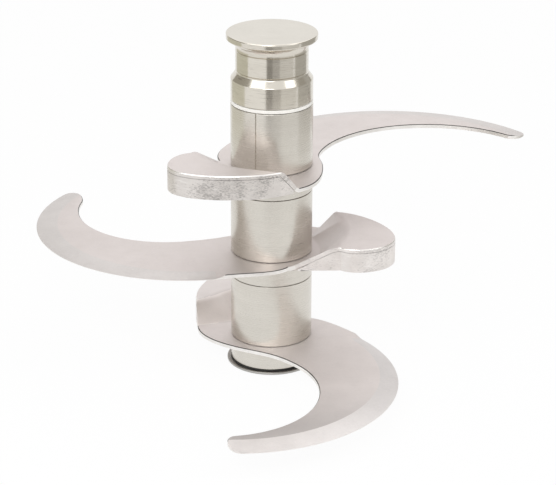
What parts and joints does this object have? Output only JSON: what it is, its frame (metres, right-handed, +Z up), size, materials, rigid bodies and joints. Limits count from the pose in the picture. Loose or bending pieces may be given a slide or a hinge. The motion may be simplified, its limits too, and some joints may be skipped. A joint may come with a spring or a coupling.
{
  "type": "food processor blade",
  "caption": "Vertical food processor blade: three curved sickle knives with folded counterweight heads, clamped between spacer sleeves on a keyed drive tube with a turned knob on top",
  "frame": {"origin": "on the column axis at the mouth of the drive bore, in the flat underside of the flange", "axes": "+Z up the column towards the knob; +X is the right of the pictured view and +Y points away from the viewer"},
  "size_m": [0.3093, 0.268, 0.2128],
  "materials": {
    "blade_steel": "satin, finely ground",
    "turned_steel": "turned, semi-bright",
    "ground_steel": "ground and linished by hand",
    "plain_steel": "plain machined",
    "white_seal": "smooth off-white seal",
    "black_seal": "matte black seal"
  },
  "bodies": {
    "root": {"drive_tube": "plain_steel", "foot_seal": "black_seal", "collar_lower": "turned_steel", "collar_middle": "turned_steel", "collar_upper": "turned_steel", "hub_key_lower": "plain_steel", "hub_key_middle": "plain_steel", "hub_key_upper": "plain_steel", "blade_lower": "blade_steel", "blade_middle": "blade_steel", "blade_upper": "blade_steel", "counterweight_lower": "ground_steel", "counterweight_middle": "ground_steel", "counterweight_upper": "ground_steel", "joint_seal_lower": "black_seal", "joint_seal_middle": "black_seal", "joint_seal_upper": "black_seal", "sleeve_lower": "turned_steel", "sleeve_middle": "turned_steel", "sleeve_upper": "turned_steel", "cap_seal": "white_seal", "top_knob": "turned_steel"}
  },
  "joints": []
}
